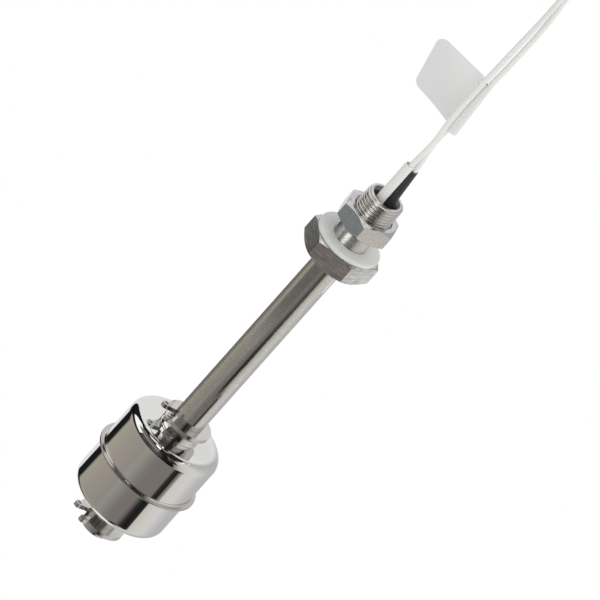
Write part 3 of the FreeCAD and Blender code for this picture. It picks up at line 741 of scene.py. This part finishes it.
def flags():
    """Two sheets close to the left of the stem: a warm one in front and a dark one behind it."""
    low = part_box("upper_retaining_ring")[1].z - FLAG_OVERLAP
    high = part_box("mounting_fitting")[0].z
    near, middle, far = -0.25 * STEM_R, 0.5 * STEM_R, 2.6 * STEM_R
    for name, start, end, tone in (
        ("dark_flag", middle, far, (0.062, 0.06, 0.058)),
        ("warm_flag", near, middle, (0.228, 0.215, 0.198)),
    ):
        corners = [(FLAG_X, start, low), (FLAG_X, end, low), (FLAG_X, end, high), (FLAG_X, start, high)]
        sheet(name, corners, tone)


def near_cards():
    """Small panels close by, each for one place: the float's dark band, the upper stem, and four flats."""
    edge = (0.205, 0.185, 0.172)
    upper = [(0.0, edge), (0.6, edge), (0.68, 0.03), (0.84, 0.012), (0.86, 0.1), (1.0, (0.4, 0.385, 0.35))]
    lower = [(0.0, edge), (0.35, edge), (0.6, 0.03), (0.75, 0.012), (0.95, 0.02), (1.0, 0.35)]
    card("upper_edge_card", (8, 60), (-20, 8), (upper, EVEN), 1.0, FLOAT_CARD_R, FLOAT_CENTRE_Z)
    card("lower_edge_card", (8, 50), (-45, -20), (lower, EVEN), 1.0, FLOAT_CARD_R, FLOAT_CENTRE_Z)
    grey = [(0.0, (0.42, 0.4, 0.37)), (0.25, (0.33, 0.325, 0.31)), (1.0, (0.33, 0.325, 0.32))]
    darker = [(0.0, 1.0), (0.4, 0.52), (1.0, 0.44)]
    card("stem_card", (-74, -4), (-24, 26), (grey, darker), 1.0, NEAR_CARD_R, STEM_CARD_Z)
    line = [(0.0, (0.15, 0.135, 0.12)), (0.5, (0.065, 0.06, 0.055)), (1.0, (0.1, 0.09, 0.08))]
    lighter = [(0.0, 0.25), (0.5, 1.0)]
    card("stem_line_card", (20, 41), (-32, 26), (line, lighter), 1.0, NEAR_CARD_R, STEM_CARD_Z)
    blue = [(0.0, (0.29, 0.305, 0.31)), (1.0, (0.265, 0.28, 0.285))]
    card("nut_card", (-62, -36), FLAT_RISE, (blue, EVEN), 1.0, NEAR_CARD_R, NUT_CARD_Z)
    slate = [(0.0, (0.115, 0.125, 0.128)), (1.0, (0.165, 0.178, 0.18))]
    card("hexagon_card", (-134, -106), FLAT_RISE, (slate, EVEN), 1.0, NEAR_CARD_R, HEXAGON_CARD_Z)
    warm = [(0.0, (0.95, 0.91, 0.84)), (1.0, (0.9, 0.87, 0.81))]
    card("nut_side_card", (58, 86), FLAT_RISE, (warm, EVEN), 0.76, NEAR_CARD_R, NUT_CARD_Z)
    pale = [(0.0, (0.86, 0.88, 0.86)), (1.0, (0.8, 0.82, 0.8))]
    card("hexagon_side_card", (104, 136), FLAT_RISE, (pale, EVEN), 1.0, NEAR_CARD_R, HEXAGON_CARD_Z)


def ceiling():
    """Dark room above, which the shoulders of the float mirror."""
    corners = [(-1.2, -0.9, 1.0), (0.75, -0.9, 1.0), (0.2, 1.2, 1.0), (-1.2, 1.2, 1.0)]
    sheet("ceiling", corners, (0.018, 0.018, 0.016))


def lamps():
    """Small bright panels: one before the neck for the glints down the thread, one over the nut."""
    before = [(-0.03, -0.05, 0.014), (-0.008, -0.06, 0.014)]
    before += [(-0.008, -0.045, 0.095), (-0.03, -0.035, 0.095)]
    over = [(-0.06, -0.015, 0.05), (0.012, -0.015, 0.05), (0.012, 0.03, 0.05), (-0.06, 0.03, 0.05)]
    sheet("neck_lamp", before, (2.3, 2.27, 2.16))
    sheet("nut_lamp", over, (0.9, 0.89, 0.86))


def only_reflected(panel):
    """Stage piece for reflections, away from the camera, shadows and diffuse light."""
    panel.visible_camera = False
    panel.visible_shadow = False
    panel.visible_diffuse = False


def seen(tree):
    """1 for camera, glossy and transmission rays, 0 for the rays that only carry light."""
    path = tree.nodes.new("ShaderNodeLightPath")
    total = path.outputs["Is Camera Ray"]
    for kind in ("Is Glossy Ray", "Is Transmission Ray"):
        add = tree.nodes.new("ShaderNodeMath")
        add.use_clamp = True
        tree.links.new(total, add.inputs[0])
        tree.links.new(path.outputs[kind], add.inputs[1])
        total = add.outputs["Value"]
    return total


def floor():
    """Pale floor far below, white to the eye like the surroundings, and open from below."""
    corners = [(-FLOOR_REACH, -FLOOR_REACH, FLOOR_Z), (FLOOR_REACH, -FLOOR_REACH, FLOOR_Z)]
    corners += [(FLOOR_REACH, FLOOR_REACH, FLOOR_Z), (-FLOOR_REACH, FLOOR_REACH, FLOOR_Z)]
    ground = finish_mesh("floor", corners, [(0, 1, 2, 3)])
    nodes = Nodes("floor")
    nodes.set(Base_Color=(0.9, 0.9, 0.89, 1), Roughness=0.6)
    output = nodes.tree.nodes["Material Output"]
    white = nodes.add("ShaderNodeEmission", Color=(1, 1, 1, 1))
    lit = nodes.add("ShaderNodeMixShader")
    nodes.join(seen(nodes.tree), lit.inputs[0])
    nodes.join(nodes.shader.outputs["BSDF"], lit.inputs[1])
    nodes.join(white.outputs["Emission"], lit.inputs[2])
    side = nodes.add("ShaderNodeNewGeometry")
    clear = nodes.add("ShaderNodeBsdfTransparent")
    either = nodes.add("ShaderNodeMixShader")
    nodes.join(side.outputs["Backfacing"], either.inputs[0])
    nodes.join(lit.outputs["Shader"], either.inputs[1])
    nodes.join(clear.outputs["BSDF"], either.inputs[2])
    nodes.join(either.outputs["Shader"], output.inputs["Surface"])
    ground.data.materials.append(nodes.material)


def surroundings():
    """White all round to the eye and in metal, a little dimmer as light."""
    world = bpy.data.worlds.new("surroundings")
    world.use_nodes = True
    bpy.context.scene.world = world
    tree = world.node_tree
    mix = tree.nodes.new("ShaderNodeMix")
    mix.data_type = "RGBA"
    mix.inputs[MIX_A].default_value = (0.82, 0.82, 0.81, 1)
    mix.inputs[MIX_B].default_value = (1, 1, 1, 1)
    tree.links.new(seen(tree), mix.inputs[0])
    tree.links.new(mix.outputs[MIX_RESULT], tree.nodes["Background"].inputs["Color"])


def studio():
    """Pale floor, white surroundings, the panels that the steel mirrors, and soft light."""
    window_across = [
        (0.0, 0.012),
        (0.142, 0.014),
        (0.16, (0.22, 0.205, 0.175)),
        (0.185, (0.43, 0.41, 0.35)),
        (0.37, (0.40, 0.355, 0.31)),
        (0.517, (0.36, 0.333, 0.3)),
        (0.6, (0.335, 0.312, 0.285)),
        (0.657, (0.355, 0.338, 0.315)),
        (0.72, (0.308, 0.288, 0.264)),
        (0.787, (0.243, 0.225, 0.21)),
        (0.88, (0.208, 0.192, 0.178)),
        (0.91, 0.07),
        (0.935, 0.014),
        (1.0, 0.012),
    ]
    window_up = [(0.0, 1.0), (0.6, 0.9), (0.9, 1.0), (1.0, 0.5)]
    card("window_card", (-140, 38), (-78, -7), (window_across, window_up))
    brow_across = [
        (0.0, 0.01),
        (0.35, 0.02),
        (0.48, 0.09),
        (0.58, 0.06),
        (0.68, 0.12),
        (0.8, 0.012),
        (1.0, 0.012),
    ]
    brow_up = [(0.0, 0.4), (0.3, 1.0), (0.6, 1.0), (1.0, 0.3)]
    card("brow_card", (-140, 50), (-7, 60), (brow_across, brow_up), 1.0, BEHIND_WALL_R)
    ceiling()
    side_across = [
        (0.0, 0.1),
        (0.03, (0.32, 0.3, 0.26)),
        (0.12, (0.6, 0.58, 0.54)),
        (0.25, (0.71, 0.685, 0.64)),
        (0.4, 0.72),
        (0.62, 0.54),
        (0.85, 0.5),
        (1.0, 0.8),
    ]
    side_up = [(0.0, 0.92), (0.5, 1.0), (1.0, 0.95)]
    card("side_card", (38, 178), WALL_RISE, (side_across, side_up))
    card("glint_card", (-110, -62), (8, 48), (EVEN, EVEN), 1.1, BEFORE_WALL_R)
    near_cards()
    flags()
    lamps()
    card("back_card", (178, 220), WALL_RISE, (EVEN, EVEN), 0.82)
    floor()
    surroundings()
    key_light()


def key_light():
    """Soft lamp from the upper right that shades the object but isn't mirrored in it."""
    lamp = bpy.data.lights.new("key", "AREA")
    lamp.shape = "DISK"
    lamp.size = KEY_SIZE
    lamp.energy = KEY_ENERGY
    key = bpy.data.objects.new("key", lamp)
    key.location = KEY_PLACE
    key.rotation_euler = (-key.location).to_track_quat("-Z", "Y").to_euler()
    key.visible_glossy = False
    bpy.context.scene.collection.objects.link(key)


def camera():
    """Very long lens at the photo's angle, almost without perspective."""
    data = bpy.data.cameras.new("camera")
    data.lens = LENS
    data.sensor_width = SENSOR
    across = Vector((1, 0, 0))
    along = Vector((0, math.sin(TILT), math.cos(TILT)))
    back = Vector((0, -math.cos(TILT), math.sin(TILT)))
    right = across * math.sin(SLANT) + along * math.cos(SLANT)
    up = along * math.sin(SLANT) - across * math.cos(SLANT)
    view = bpy.data.objects.new("camera", data)
    distance = VIEW_WIDTH * LENS / SENSOR
    turned = Matrix((right, up, back)).transposed().to_4x4()
    view.matrix_world = Matrix.Translation(AIM + back * distance) @ turned
    bpy.context.scene.collection.objects.link(view)
    bpy.context.scene.camera = view
    data.clip_start = NEAREST_SEEN
    data.clip_end = FARTHEST_SEEN


stem_pieces()
float_pieces()
fitting_pieces()
nut_piece()
gasket_piece()
sleeve_pieces()
plain_nodes()
lead_pieces()
studio()
camera()
bpy.context.scene.view_settings.view_transform = "Standard"
